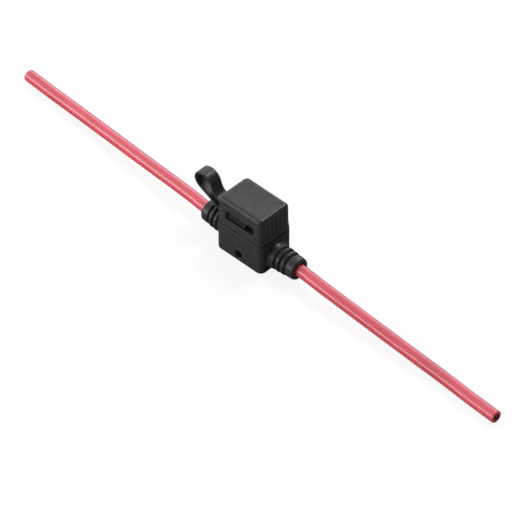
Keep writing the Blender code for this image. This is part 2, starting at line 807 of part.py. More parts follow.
make_base()
make_cap()
make_carrier()
make_terminals()
make_fuse()
make_fuse_element()
make_leads()
make_strap()
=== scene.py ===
"""Looks for an inline blade-fuse holder: soft box, ribbed boots, tether strap, leads and insides.

Metres, +Z up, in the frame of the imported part. The leads run along X and the front faces -Y.
"""

import json
import math

import bmesh
import bpy
from mathutils import Matrix, Vector

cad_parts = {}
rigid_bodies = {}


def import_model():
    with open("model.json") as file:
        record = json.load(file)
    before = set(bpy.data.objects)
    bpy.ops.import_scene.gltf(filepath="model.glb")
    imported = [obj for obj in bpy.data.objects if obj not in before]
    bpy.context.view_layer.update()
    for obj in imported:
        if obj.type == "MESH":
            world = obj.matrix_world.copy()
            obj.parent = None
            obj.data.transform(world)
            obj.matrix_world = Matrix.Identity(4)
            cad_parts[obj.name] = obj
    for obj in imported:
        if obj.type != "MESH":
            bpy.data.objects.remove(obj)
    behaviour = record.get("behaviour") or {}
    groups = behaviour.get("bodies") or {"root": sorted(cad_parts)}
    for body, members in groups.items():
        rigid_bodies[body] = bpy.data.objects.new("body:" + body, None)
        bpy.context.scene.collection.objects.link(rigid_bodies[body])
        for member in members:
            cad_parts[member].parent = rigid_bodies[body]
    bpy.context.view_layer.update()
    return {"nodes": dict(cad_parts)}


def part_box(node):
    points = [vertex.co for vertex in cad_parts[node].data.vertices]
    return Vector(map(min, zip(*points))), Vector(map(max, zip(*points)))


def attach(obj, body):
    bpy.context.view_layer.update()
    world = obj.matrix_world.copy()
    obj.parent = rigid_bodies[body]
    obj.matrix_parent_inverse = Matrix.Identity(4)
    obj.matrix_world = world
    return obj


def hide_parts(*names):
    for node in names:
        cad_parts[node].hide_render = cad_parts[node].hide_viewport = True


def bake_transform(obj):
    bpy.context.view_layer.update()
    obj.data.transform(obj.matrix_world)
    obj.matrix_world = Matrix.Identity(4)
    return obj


bl_info = {
    "name": "Inline Fuse Holder",
    "version": (1, 0, 0),
    "blender": (4, 5, 0),
    "location": "View3D > Sidebar > Fuse Holder",
    "description": "Builds an inline fuse holder with ribbed boots, a tethered cap and two leads",
    "category": "Add Mesh",
}

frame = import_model()
base_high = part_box("base_housing")[1]
cap_low, cap_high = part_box("cap")

half_length = cap_high.x
half_width = cap_high.y
base_top = base_high.z
rim = cap_low.z
top = cap_high.z
boot_tip = base_high.x
boot_reach = boot_tip - half_length
overcut = 0.001  # how far a cutter or a joined foot runs past the face that it meets
hollow_corner = 0.0012  # radius of the standing corners inside the cap and the base
hollow_mouth = 0.0003  # how far the mouths of the two hollows open out
sharp_edge = math.radians(32)  # edges that turn by more than this are shaded sharp


def length(name, description, default):
    return bpy.props.FloatProperty(
        name=name, description=description, default=default, min=0.0, precision=5, unit="LENGTH"
    )


def colour(name, description, default):
    return bpy.props.FloatVectorProperty(
        name=name, description=description, default=default,
        min=0.0, max=1.0, size=3, subtype="COLOR",
    )


class BoxSizes(bpy.types.PropertyGroup):
    corner: length("Corner radius", "Radius of the box's standing edges", 0.0029)
    foot: length("Foot radius", "Radius of the edge round the underside", 0.0012)
    crown: length("Crown radius", "Radius of the edge round the cap's top", 0.0020)
    lip: length("Lip radius", "Radius of the soft lips where the cap meets the base", 0.00034)
    seam: length("Seam", "How far the two lips stand back from the seam", 0.00014)
    draft: length("Draft", "How far the cap's top stands in from its rim", 0.0006)
    skirt: length("Skirt", "Height of the part of the cap that flares out to the base", 0.0055)
    sink: length("Sink", "How far the middle of each flat face has shrunk in", 0.00010)
    end_wall: length("End wall", "Thickness of the base's two end walls", 0.0022)
    side_wall: length("Side wall", "Thickness of the base's front and back walls", 0.0027)
    cap_wall: length("Cap wall", "Thickness of the cap's walls", 0.0019)
    cap_roof: length("Cap roof", "Thickness of the cap's roof", 0.0015)
    hole: length("Screw hole", "Diameter of the cross hole through the base", 0.0042)
    hole_height: length("Screw hole height", "Height of its middle above the underside", 0.0041)
    flute_pitch: length("Flute pitch", "Distance from flute to flute on the cap's ends", 0.0026)
    flute_width: length("Flute width", "Half width of one grip flute", 0.00062)
    flute_depth: length("Flute depth", "Depth of one grip flute", 0.00036)


class BootSizes(bpy.types.PropertyGroup):
    axis: length("Axis height", "Height of the leads and the boots above the underside", 0.0067)
    flare: length("Flare radius", "Radius of the trumpet where the boot meets the box", 0.0066)
    flare_reach: length("Flare reach", "Length of the trumpet", 0.0030)
    root: length("Root radius", "Radius of the cone just past the trumpet", 0.0061)
    tip: length("Tip radius", "Radius of the cone at the tip", 0.0051)
    tip_round: length("Tip rounding", "Radius of the edge round the tip", 0.0011)
    bore: length("Bore radius", "Radius of the bore that the lead passes", 0.00315)
    first_groove: length("First groove", "Distance of the first groove from the box", 0.0037)
    pitch: length("Groove pitch", "Distance from groove to groove", 0.0028)
    groove_width: length("Groove width", "Half width of one groove", 0.00062)
    groove_depth: length("Groove depth", "Depth of one groove", 0.00110)
    swell: length("Rib swell", "How far each rib bulges out between two grooves", 0.00016)


class LatchSizes(bpy.types.PropertyGroup):
    window_length: length("Window length", "Length of the latch window", 0.0163)
    window_height: length("Window height", "Height of the latch window", 0.0045)
    window_rise: length("Window rise", "Height of the window above the cap's rim", 0.0037)
    window_corner: length("Window corner", "Radius of the window's four corners", 0.0005)
    window_lip: length("Window lip", "Radius of the edge round the window", 0.00035)
    wedge_length: length("Wedge length", "Length of the latch wedge", 0.0106)
    wedge_offset: length("Wedge offset", "Distance of the wedge from the window's middle", 0.0023)
    channel: length("Channel face", "Distance of the channel's floor from the middle", 0.00885)


class StrapSizes(bpy.types.PropertyGroup):
    width: length("Width", "Width of the tether strap", 0.0061)
    thickness: length("Thickness", "Thickness of the tether strap", 0.0013)
    edge: length("Edge radius", "Radius of the strap's long edges", 0.00042)
    stub: length("Stub", "Reach of the moulded stubs from the end face", 0.0015)
    base_height: length("Lower end", "Height of the strap's end on the base", 0.0145)
    cap_rise: length("Upper end", "Rise of the strap's end on the cap above the rim", 0.0033)


class LeadSizes(bpy.types.PropertyGroup):
    diameter: length("Diameter", "Outside diameter of the insulation", 0.0057)
    bundle: length("Conductor", "Diameter of the bundle of copper strands", 0.0031)
    right: length("Right lead", "Length of the right lead from its boot to the cut", 0.1178)
    left: length("Left lead", "Length of the left lead from its boot to the cut", 0.1221)
    start: length("Start", "Distance of the insulation's inner end from the middle", 0.01595)
    resting: length("Resting height", "Height of a lead's middle line where it lies flat", 0.0029)


class HolderColours(bpy.types.PropertyGroup):
    rubber: colour("Soft black", "Colour of the soft mouldings", (0.037, 0.035, 0.038))
    stiff: colour("Stiff black", "Colour of the stiff carrier", (0.010, 0.010, 0.011))
    insulation: colour("Insulation", "Colour of the leads", (0.69, 0.068, 0.110))
    copper: colour("Copper", "Colour of the cut strands", (0.50, 0.21, 0.11))
    brass: colour("Brass", "Colour of the terminals", (0.72, 0.53, 0.26))
    zinc: colour("Zinc", "Colour of the fuse's metal", (0.62, 0.63, 0.65))
    window_green: colour("Fuse green", "Colour of the fuse's clear body", (0.16, 0.62, 0.22))
    bench: colour("Bench", "Colour of the bench top", (0.14, 0.14, 0.14))


# Shader building


class Value:
    """A socket of a material, on which Python's operators add the Math nodes."""

    def __init__(self, finish, socket):
        self.finish = finish
        self.socket = socket

    def maths(self, operation, other):
        return self.finish.node("ShaderNodeMath", {"operation": operation}, {0: self, 1: other})

    def __add__(self, other):
        return self.maths("ADD", other)

    def __mul__(self, other):
        return self.maths("MULTIPLY", other)

    __radd__ = __add__
    __rmul__ = __mul__


class Finish:
    """A material being built on its Principled shader."""

    def __init__(self, name, fixed):
        self.material = bpy.data.materials.new(name)
        self.material.use_nodes = True
        self.tree = self.material.node_tree
        self.shader = self.tree.nodes["Principled BSDF"]
        self.feed(self.shader, fixed)
        self.place = self.node("ShaderNodeTexCoord", {}, {}, output="Object")

    def node(self, kind, settings, sockets, output=0):
        made = self.tree.nodes.new(kind)
        for setting, value in settings.items():
            setattr(made, setting, value)
        self.feed(made, sockets)
        return Value(self, made.outputs[output])

    def feed(self, node, sockets):
        for label, value in sockets.items():
            if isinstance(value, Value):
                self.tree.links.new(value.socket, node.inputs[label])
            else:
                node.inputs[label].default_value = value

    def noise(self, size, detail, stretch=(1.0, 1.0, 1.0)):
        """A random pattern from 0 to 1 with blotches of about this size, drawn out by stretch."""
        scale = [1 / part for part in stretch]
        place = self.node("ShaderNodeMapping", {}, {"Vector": self.place, "Scale": scale})
        sockets = {"Vector": place, "Scale": 1 / size, "Detail": detail}
        return self.node("ShaderNodeTexNoise", {}, sockets)

    def spread(self, value, low, high):
        """The value from low to high, drawn out smoothly to 0 to 1."""
        sockets = {"Value": value, "From Min": low, "From Max": high}
        return self.node("ShaderNodeMapRange", {"interpolation_type": "SMOOTHSTEP"}, sockets)

    def mix(self, factor, first, second):
        """The first colour where the factor is 0 and the second where it is 1."""
        sockets = {0: factor, 6: with_alpha(first), 7: with_alpha(second)}
        return self.node("ShaderNodeMix", {"data_type": "RGBA"}, sockets, output=2)

    def bump(self, height, depth, strength):
        sockets = {"Height": height, "Distance": depth, "Strength": strength}
        return self.node("ShaderNodeBump", {}, sockets)


def with_alpha(tone):
    """A colour as a colour socket takes it. A Value is left as it is."""
    return tone if isinstance(tone, Value) else (*tone, 1.0)


def shade(tone, factor):
    """A colour made lighter or darker."""
    return tuple(min(1.0, part * factor) for part in tone)


def add_node(tree, kind, sockets, **settings):
    """Add a node with its settings and its sockets' values. A link is a (node, output) pair."""
    made = tree.nodes.new(kind)
    for setting, value in settings.items():
        setattr(made, setting, value)
    for label, value in sockets.items():
        if isinstance(value, tuple) and isinstance(value[0], bpy.types.Node):
            tree.links.new(value[0].outputs[value[1]], made.inputs[label])
        else:
            made.inputs[label].default_value = value
    return made


def multiplied(tree, first, second):
    """The product of two numbers, as a link."""
    return add_node(tree, "ShaderNodeMath", {0: first, 1: second}, operation="MULTIPLY"), 0


def rubber_finish(tone):
    """Matte moulded elastomer: faint cloudy bloom, fine grain and small scuffs."""
    look = Finish("soft_black", {"Specular IOR Level": 0.30})
    cloud = look.noise(0.0060, 4.0)
    blotch = look.noise(0.0013, 3.0, (1.6, 1.6, 1.0))
    grain = look.noise(0.00018, 2.0)
    bloom = look.spread(cloud * 0.30 + blotch * 0.70, 0.30, 0.72)
    tint = look.mix(bloom, shade(tone, 0.84), shade(tone, 1.18))
    speck = look.spread(grain, 0.60, 0.80)
    look.feed(look.shader, {
        "Base Color": look.mix(speck * 0.35, tint, shade(tone, 1.9)),
        "Roughness": 0.31 + bloom * 0.12,
        "Normal": look.bump(grain * 0.35 + blotch * 0.65, 0.00009, 0.55),
    })
    return look.material


def stiff_finish(tone):
    """Hard moulded plastic with a fine spark-eroded grain."""
    look = Finish("stiff_black", {"Specular IOR Level": 0.20})
    grain = look.noise(0.00022, 2.0)
    flow = look.noise(0.0030, 3.0, (3.0, 1.0, 1.0))
    look.feed(look.shader, {
        "Base Color": look.mix(look.spread(flow, 0.3, 0.7), shade(tone, 0.8), shade(tone, 1.35)),
        "Roughness": 0.40 + grain * 0.12,
        "Normal": look.bump(grain, 0.00002, 0.6),
    })
    return look.material


def insulation_finish(tone):
    """Glossy extruded insulation: fine draw lines along the lead and a slightly uneven colour."""
    look = Finish("pink_pvc", {"Specular IOR Level": 0.55, "Coat Roughness": 0.19})
    lines = look.noise(0.0012, 2.0, (60.0, 1.0, 1.0))
    patch = look.noise(0.0050, 3.0, (4.0, 1.0, 1.0))
    dust = look.noise(0.0020, 2.0)
    look.feed(look.shader, {
        "Base Color": look.mix(look.spread(patch, 0.3, 0.7), shade(tone, 0.90), shade(tone, 1.10)),
        "Roughness": 0.30 + dust * 0.06,
        "Coat Weight": 0.45 + patch * 0.2,
        "Normal": look.bump(lines * 0.7 + dust * 0.3, 0.00002, 0.06),
    })
    return look.material


def metal_finish(name, tone, dull, grain_size, stretch):
    """Stamped or drawn metal with fine lines and dull patches."""
    look = Finish(name, {"Metallic": 1.0})
    lines = look.noise(grain_size, 3.0, stretch)
    tarnish = look.spread(look.noise(0.0016, 4.0), 0.35, 0.70)
    look.feed(look.shader, {
        "Base Color": look.mix(tarnish, tone, shade(tone, dull)),
        "Roughness": 0.24 + lines * 0.18 + tarnish * 0.10,
        "Normal": look.bump(lines, 0.00001, 0.4),
    })
    return look.material


def clear_finish(tone):
    """Clear tinted plastic with faint flow marks."""
    look = Finish("clear_green", {"Transmission Weight": 0.85, "IOR": 1.49})
    flow = look.noise(0.0022, 2.0, (1.0, 1.0, 3.0))
    look.feed(look.shader, {
        "Base Color": look.mix(look.spread(flow, 0.3, 0.7), shade(tone, 0.9), shade(tone, 1.1)),
        "Roughness": 0.10 + flow * 0.10,
        "Normal": look.bump(flow, 0.00003, 0.3),
    })
    return look.material


# Mesh building


def clamp(share):
    return min(1.0, max(0.0, share))


def finished(shape, name):
    """Turn what was built into a mesh and let go of it."""
    mesh = bpy.data.meshes.new(name)
    shape.to_mesh(mesh)
    shape.free()
    return mesh


def add_object(name, data):
    thing = bpy.data.objects.new(name, data)
    bpy.context.scene.collection.objects.link(thing)
    return thing


def settle(thing):
    """Apply every modifier, so that the object holds a plain mesh."""
    bpy.context.view_layer.update()
    graph = bpy.context.evaluated_depsgraph_get()
    mesh = bpy.data.meshes.new_from_object(thing.evaluated_get(graph))
    mesh.name = thing.name
    thing.modifiers.clear()
    thing.data = mesh
    return thing


def round_edges(thing, width, segments, angle):
    """Round the edges that turn by more than an angle in degrees."""
    bevel = thing.modifiers.new("round edges", "BEVEL")
    bevel.width, bevel.segments = width, segments
    bevel.limit_method = "ANGLE"
    bevel.angle_limit = math.radians(angle)
    return settle(thing)


def combine(piece, mesh, operation):
    """Cut a mesh out of a piece, or join it on."""
    tool = add_object("tool", mesh)
    modifier = piece.modifiers.new("combine", "BOOLEAN")
    modifier.operation = operation
    modifier.object = tool
    settle(piece)
    bpy.data.objects.remove(tool, do_unlink=True)


def cut(piece, mesh):
    combine(piece, mesh, "DIFFERENCE")


def join(piece, mesh):
    combine(piece, mesh, "UNION")


def present(piece, body, material, slot, *nodes):
    """Give a finished piece its shading, its material, its body and the nodes it stands for."""
    piece.data.materials.clear()
    piece.data.materials.append(material)
    piece.data.shade_smooth()
    piece.data.set_sharp_from_angle(angle=sharp_edge)
    if body:
        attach(piece, body)
    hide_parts(*nodes)


def rounded_rectangle(half_x, half_y, radius, corner_steps, x_steps, y_steps):
    """A rectangle with round corners, anticlockwise, whose sides are divided evenly."""
    least = 0.00005
    radius = max(least, min(radius, half_x - least, half_y - least))
    flat_x, flat_y = half_x - radius, half_y - radius
    corners = (  # each corner's centre, the straight side that follows it and that side's steps
        ((flat_x, flat_y), (-2 * flat_x, 0.0), x_steps),
        ((-flat_x, flat_y), (0.0, -2 * flat_y), y_steps),
        ((-flat_x, -flat_y), (2 * flat_x, 0.0), x_steps),
        ((flat_x, -flat_y), (0.0, 2 * flat_y), y_steps),
    )
    points = []
    for number, ((x, y), (run_x, run_y), steps) in enumerate(corners):
        for step in range(corner_steps + 1):
            angle = math.radians(90 * number + 90 * step / corner_steps)
            points.append((x + radius * math.cos(angle), y + radius * math.sin(angle)))
        last_x, last_y = points[-1]
        for step in range(1, steps):
            points.append((last_x + run_x * step / steps, last_y + run_y * step / steps))
    return points


def quarter_round(radius, steps):
    """Points on a round edge between two faces, as their depths below the one and the other."""
    angles = [math.radians(90 * step / steps) for step in range(steps + 1)]
    return [(radius * (1 - math.cos(a)), radius * (1 - math.sin(a))) for a in angles]


def skin(shape, loops):
    """Join a row of like rings of vertices with faces, and close its two ends."""
    count = len(loops[0])
    for below, above in zip(loops, loops[1:]):
        for here in range(count):
            after = (here + 1) % count
            shape.faces.new((below[here], below[after], above[after], above[here]))
    shape.faces.new(loops[0][::-1])
    shape.faces.new(loops[-1])


def loft(name, levels, steps):
    """A solid through rounded rectangles, each (height, half X, half Y, corner radius).

    The steps are those of a corner, of a side along X and of a side along Y.
    """
    shape = bmesh.new()
    loops = []
    for height, half_x, half_y, radius in levels:
        outline = rounded_rectangle(half_x, half_y, radius, *steps)
        loops.append([shape.verts.new((x, y, height)) for x, y in outline])
    skin(shape, loops)
    return finished(shape, name)


def lathe(name, profile, steps):
    """A closed solid turned about Z, from a profile of (radius, height) from the top down."""
    shape = bmesh.new()
    loops = []
    for radius, height in profile:
        if radius < 1e-7:
            loops.append([shape.verts.new((0.0, 0.0, height))])
            continue
        turns = [math.tau * step / steps for step in range(steps)]
        ring = [(radius * math.cos(a), radius * math.sin(a), height) for a in turns]
        loops.append([shape.verts.new(place) for place in ring])
    for above, below in zip(loops, loops[1:]):
        for here in range(steps):
            after = (here + 1) % steps
            if len(above) == 1:
                shape.faces.new((above[0], below[here], below[after]))
            elif len(below) == 1:
                shape.faces.new((below[0], above[after], above[here]))
            else:
                shape.faces.new((below[here], below[after], above[after], above[here]))
    return finished(shape, name)


def along_x(mesh, start, side, height):
    """Lay a shape that stands on Z along X, with its foot at a distance from the middle."""
    turn = Matrix.Rotation(math.radians(90 * side), 4, "Y")
    mesh.transform(Matrix.Translation((start * side, 0.0, height)) @ turn)
    return mesh


def smooth_route(points, spacing):
    """Points along a smooth curve through the route's own points, about one spacing apart."""
    padded = [points[0] * 2 - points[1], *points, points[-1] * 2 - points[-2]]
    parts = 20
    fine = []
    for before, start, end, after in zip(padded, padded[1:], padded[2:], padded[3:]):
        for step in range(parts):
            t = step / parts
            slope = end - before
            bend = 2 * before - 5 * start + 4 * end - after
            twist = 3 * start - before - 3 * end + after
            fine.append(0.5 * (2 * start + slope * t + bend * t**2 + twist * t**3))
    fine.append(points[-1])
    travelled = [0.0]
    for start, end in zip(fine, fine[1:]):
        travelled.append(travelled[-1] + (end - start).length)
    count = max(2, round(travelled[-1] / spacing))
    route = []
    for step in range(count + 1):
        wanted = travelled[-1] * step / count
        place = next(i for i in range(1, len(fine)) if travelled[i] >= wanted - 1e-12)
        share = (wanted - travelled[place - 1]) / (travelled[place] - travelled[place - 1])
        route.append(fine[place - 1].lerp(fine[place], share))
    return route


# The soft box


def cap_inset(box, height):
    """How far the cap's side stands in from its rim, at a height above the rim."""
    flared = math.sin(min(1.0, height / box.skirt) * math.pi / 2)
    return box.draft * (0.7 * flared + 0.3 * height / (top - rim))


def shrink_face(box, place):
    """Move a point of the front or the back in, most in the face's middle, as a moulding does."""
    facing_front = clamp((abs(place.y) - (half_width - box.corner)) / box.corner)
    bulge = math.cos(min(1.0, abs(place.x) / half_length) * math.pi / 2)
    place.y -= math.copysign(box.sink * bulge * facing_front, place.y)


flute_foot = 0.0022  # height above the rim at which the flutes begin
flute_run_in = 0.0012  # height over which they reach their full depth
flute_run_out = 0.0006  # height over which they end at the top


def flute_dent(box, place, side):
    """Depth of the grip flutes at a point of the cap's end."""
    risen = (place.z - rim - flute_foot) / flute_run_in
    fade = clamp(min(risen, (top - place.z) / flute_run_out))
    dent = 0.0
    for number in range(-3, 4):
        if side < 0 and abs(number) < 2:
            continue  # the strap's stub is there
        dent += math.exp(-(((place.y - number * box.flute_pitch) / box.flute_width) ** 2))
    return box.flute_depth * dent * fade * fade * (3 - 2 * fade)


def cap_outside(box):
    """The cap's outer form: soft lip, flared skirt, fluted ends and a rounded top."""
    foot = rim + box.seam
    levels = [(foot + rise, inset) for rise, inset in quarter_round(box.lip, 4)]
    low, high = foot + box.lip, top - box.crown
    side_rows, roof_rows = 44, 12
    for step in range(1, side_rows):
        height = low + (high - low) * step / side_rows
        levels.append((height, cap_inset(box, height - rim)))
    stand_in = cap_inset(box, high - rim)
    levels += [(top - drop, stand_in + inset) for inset, drop in quarter_round(box.crown, 10)]
    roof_ridge, roof_corner = 0.0008, 0.0006
    roof_run = half_width - stand_in - box.crown - roof_ridge
    for step in range(1, roof_rows):
        share = step / roof_rows
        sunk = box.sink * math.sin(share * math.pi / 2)
        levels.append((top - sunk, stand_in + box.crown + roof_run * share))
    rings = [
        (z, half_length - inset, half_width - inset, max(box.corner - inset, roof_corner))
        for z, inset in levels
    ]
    mesh = loft("cap_outside", rings, (12, 26, 72))
    for vert in mesh.vertices:
        place = vert.co
        side = 1 if place.x > 0 else -1
        reach = clamp((abs(place.x) - (half_length - box.corner)) / (box.corner - box.draft))
        place.x -= side * flute_dent(box, place, side) * reach * reach
        shrink_face(box, place)
    return mesh


stub_flare = 0.0016  # reach of the flare at the foot of a strap stub
stub_swell = 0.0007  # how much wider the foot is all round
stub_curve = 2.2  # power by which the flare dies away
stub_overlap = 0.0003  # how far a stub runs on round the strap's end


def strap_stub(height, strap):
    """A stub that the strap grows out of: it flares softly into the left end face."""
    levels = []
    start = half_length - overcut
    end = half_length + strap.stub + stub_overlap
    rows = 12
    for step in range(rows + 1):
        reach = start + (end - start) * step / rows
        out = clamp(1 - max(0.0, reach - half_length) / stub_flare)
        grow = stub_swell * out**stub_curve
        half_depth, half_across = strap.thickness / 2 + grow, strap.width / 2 + grow
        levels.append((reach, half_depth, half_across, strap.edge + grow / 2))
    return along_x(loft("stub", levels, (5, 4, 12)), 0.0, -1, height)


def window_tool(latch, box, side):
    """A cutter for one latch window, flared at its mouth so that the edge comes out round."""
    middle, lip, depth = latch.window_rise + latch.window_height / 2, latch.window_lip, 0.0045
    surface = half_width - cap_inset(box, middle) - box.sink
    levels = [(half_width - depth, 0.0)]
    rows = 6
    for step in range(rows + 1):
        share = step / rows
        levels.append((surface - lip * (1 - share), lip * (1 - math.sqrt(1 - share * share))))
    levels.append((half_width + overcut, lip))
    half_x, half_y = latch.window_length / 2, latch.window_height / 2
    rings = [(z, half_x + grow, half_y + grow, latch.window_corner + grow) for z, grow in levels]
    mesh = loft("window", rings, (5, 20, 8))
    turn = Matrix.Rotation(math.radians(-90 * side), 4, "X")
    mesh.transform(Matrix.Translation((0.0, 0.0, rim + middle)) @ turn)
    return mesh


def hollow_tool(name, half_x, half_y, levels):
    """A cutter for a hollow: each level is (height, how far it opens out past the walls)."""
    rings = [(z, half_x + grow, half_y + grow, hollow_corner + grow) for z, grow in levels]
    return loft(name, rings, (6, 10, 10))


def box_mesh(name, low, high):
    shape = bmesh.new()
    size = Vector(high) - Vector(low)
    centre = (Vector(high) + Vector(low)) / 2
    place = Matrix.Translation(centre) @ Matrix.Diagonal((*size, 1.0))
    bmesh.ops.create_cube(shape, size=1.0, matrix=place)
    return finished(shape, name)


class FUSEHOLDER_OT_cap(bpy.types.Operator):
    """Build the pull-off cap with its latch windows and grip flutes"""

    bl_idname = "fuse_holder.build_cap"
    bl_label = "Cap"

    def execute(self, context):
        scene = context.scene
        box, latch, strap = scene.holder_box, scene.holder_latch, scene.holder_strap
        cap = add_object("cap_moulding", cap_outside(box))
        join(cap, strap_stub(rim + strap.cap_rise, strap))
        half_x = half_length - box.draft - box.cap_wall
        half_y = half_width - box.draft - box.cap_wall
        ceiling, ceiling_edge, side_gap = top - box.cap_roof, 0.0004, 0.0005
        cut(cap, hollow_tool("hollow", half_x, half_y, (
            (rim - overcut, hollow_mouth), (rim, hollow_mouth),
            (rim + hollow_mouth * 0.5, hollow_mouth * 0.3), (rim + hollow_mouth, 0.0),
            (ceiling - ceiling_edge, 0.0), (ceiling, -ceiling_edge),
        )))
        for side in (-1, 1):
            cut(cap, window_tool(latch, box, side))
            half = latch.wedge_length / 2 + side_gap
            middle = side * latch.wedge_offset
            ends = sorted((side * latch.channel, side * (half_y - overcut)))
            low = (middle - half, ends[0], rim - overcut)
            high = (middle + half, ends[1], rim + latch.window_rise + overcut)
            cut(cap, box_mesh("channel", low, high))
        present(cap, "cap", materials["rubber"], "soft_black", "cap")
        return {"FINISHED"}


def base_outside(box):
    """The base's outer form without its boots: rounded foot, upright sides and a soft lip."""
    levels = quarter_round(box.foot, 8)
    edge = base_top - box.seam
    low, high, side_rows = box.foot, edge - box.lip, 14
    for step in range(1, side_rows):
        levels.append((low + (high - low) * step / side_rows, 0.0))
    levels += [(edge - drop, inset) for inset, drop in quarter_round(box.lip, 4)]
    rings = [
        (z, half_length - inset, half_width - inset, box.corner - inset) for z, inset in levels
    ]
    mesh = loft("base_outside", rings, (12, 26, 18))
    for vert in mesh.vertices:
        shrink_face(box, vert.co)
    return mesh


def boot_side(boot, distance):
    """Radius of the boot at a distance from the box: cone, trumpet, ribs and grooves."""
    trumpet_curve, grooves, rib_width = 2.4, 3, boot.pitch * 0.3
    radius = boot.root + (boot.tip - boot.root) * distance / boot_reach
    trumpet = max(0.0, 1 - distance / boot.flare_reach) ** trumpet_curve
    radius += (boot.flare - boot.root) * trumpet
    for number in range(grooves):
        place = boot.first_groove + number * boot.pitch
        radius -= boot.groove_depth * math.exp(-(((distance - place) / boot.groove_width) ** 4))
        if number < grooves - 1:
            middle = place + boot.pitch / 2
            radius += boot.swell * math.exp(-(((distance - middle) / rib_width) ** 2))
    return radius


def boot_mesh(boot):
    """One boot, turned on Z with its foot just inside the box."""
    bore_ledge, rows = 0.0002, 104
    shoulder = boot_reach - boot.tip_round
    profile = [(0.0, boot_reach), (boot.bore + bore_ledge, boot_reach)]
    for drop, inset in quarter_round(boot.tip_round, 8):
        profile.append((boot_side(boot, shoulder) - inset, boot_reach - drop))
    for step in range(1, rows + 1):
        distance = shoulder * (1 - step / rows)
        profile.append((boot_side(boot, distance), distance))
    profile += [(boot.flare, -overcut), (0.0, -overcut)]
    return lathe("boot", profile, 96)


def bore_mesh(boot):
    """A cutter for the bore, flared at its mouth and open into the pocket."""
    lip, inner_end = 0.0004, -0.0032
    profile = [(0.0, boot_reach + overcut), (boot.bore + lip, boot_reach + overcut)]
    profile += [(boot.bore + grow, boot_reach - drop) for drop, grow in quarter_round(lip, 5)]
    profile += [(boot.bore, inner_end), (0.0, inner_end)]
    return lathe("bore", profile, 64)


def screw_hole(box):
    """A cutter for the cross hole, flared at both mouths."""
    radius, lip = box.hole / 2, 0.00035
    surface = half_width - box.sink
    front = [(0.0, surface + overcut), (radius + lip, surface + overcut)]
    front += [(radius + grow, surface - drop) for drop, grow in quarter_round(lip, 5)]
    back = [(reach, -depth) for reach, depth in reversed(front)]
    mesh = lathe("screw_hole", front + back, 48)
    turn = Matrix.Rotation(math.radians(90), 4, "X")
    mesh.transform(Matrix.Translation((0.0, 0.0, box.hole_height)) @ turn)
    return mesh


class FUSEHOLDER_OT_base(bpy.types.Operator):
    """Build the soft base, moulded with its two ribbed boots"""

    bl_idname = "fuse_holder.build_base"
    bl_label = "Base and boots"

    def execute(self, context):
        scene = context.scene
        box, boot, strap = scene.holder_box, scene.holder_boot, scene.holder_strap
        base = add_object("base_moulding", base_outside(box))
        for side in (1, -1):
            join(base, along_x(boot_mesh(boot), half_length, side, boot.axis))
        join(base, strap_stub(strap.base_height, strap))
        half_x, half_y = half_length - box.end_wall, half_width - box.side_wall
        floor, hole_roof, hole_wall, well_step = 0.0034, 0.0012, 0.0017, 0.0012
        saddle = box.hole_height + box.hole / 2 + hole_roof
        cut(base, hollow_tool("pocket", half_x, half_y, (
            (saddle, 0.0), (base_top - hollow_mouth, 0.0),
            (base_top, hollow_mouth), (base_top + overcut, hollow_mouth),
        )))
        cut(base, screw_hole(box))
        for side in (1, -1):
            ends = sorted((side * (box.hole / 2 + hole_wall), side * half_x))
            low = (ends[0], -half_y + well_step, floor)
            high = (ends[1], half_y - well_step, saddle + overcut)
            cut(base, box_mesh("well", low, high))
            cut(base, along_x(bore_mesh(boot), half_length, side, boot.axis))
        present(base, "holder", materials["rubber"], "soft_black", "base_housing")
        return {"FINISHED"}


# The tether strap


strap_spacing = 0.0004  # distance between the sections that the strap is built from
strap_points = (  # the loop seen from the front, from the base's stub round to the cap's
    (-0.01785, 0.01450),
    (-0.02000, 0.01555),
    (-0.02240, 0.01715),
    (-0.02485, 0.01850),
    (-0.02700, 0.01945),
    (-0.02900, 0.02045),
    (-0.03085, 0.02160),
    (-0.03195, 0.02290),
    (-0.03250, 0.02460),
    (-0.03220, 0.02630),
    (-0.03110, 0.02770),
    (-0.02950, 0.02850),
    (-0.02790, 0.02875),
    (-0.02660, 0.02860),
    (-0.02530, 0.02800),
    (-0.02400, 0.02685),
    (-0.02315, 0.02520),
    (-0.02245, 0.02340),
    (-0.02150, 0.02170),
    (-0.01985, 0.02040),
    (-0.01765, 0.01965),
)


def strap_line(strap):
    """The strap's middle line from the base round to the cap."""
    root = -half_length - strap.stub - stub_overlap
    start = Vector((root, 0.0, strap.base_height))
    end = Vector((root, 0.0, rim + strap.cap_rise))
    loop = [Vector((x, 0.0, z)) for x, z in strap_points]
    return smooth_route([start, *loop, end], strap_spacing)


class FUSEHOLDER_OT_strap(bpy.types.Operator):
    """Build the flat tether strap in its loop"""

    bl_idname = "fuse_holder.build_strap"
    bl_label = "Tether strap"

    def execute(self, context):
        strap = context.scene.holder_strap
        line = strap_line(strap)
        outline = rounded_rectangle(strap.width / 2, strap.thickness / 2, strap.edge, 5, 12, 2)
        across = Vector((0.0, 1.0, 0.0))
        shape = bmesh.new()
        loops = []
        for number, place in enumerate(line):
            before, after = line[max(0, number - 1)], line[min(len(line) - 1, number + 1)]
            up = across.cross((after - before).normalized())
            loops.append([shape.verts.new(place + across * x + up * y) for x, y in outline])
        skin(shape, loops)
        bmesh.ops.recalc_face_normals(shape, faces=shape.faces)
        piece = add_object("strap_loop", finished(shape, "strap_loop"))
        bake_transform(piece)
        present(piece, None, materials["rubber"], "soft_black", "tether_strap")
        return {"FINISHED"}


# The leads


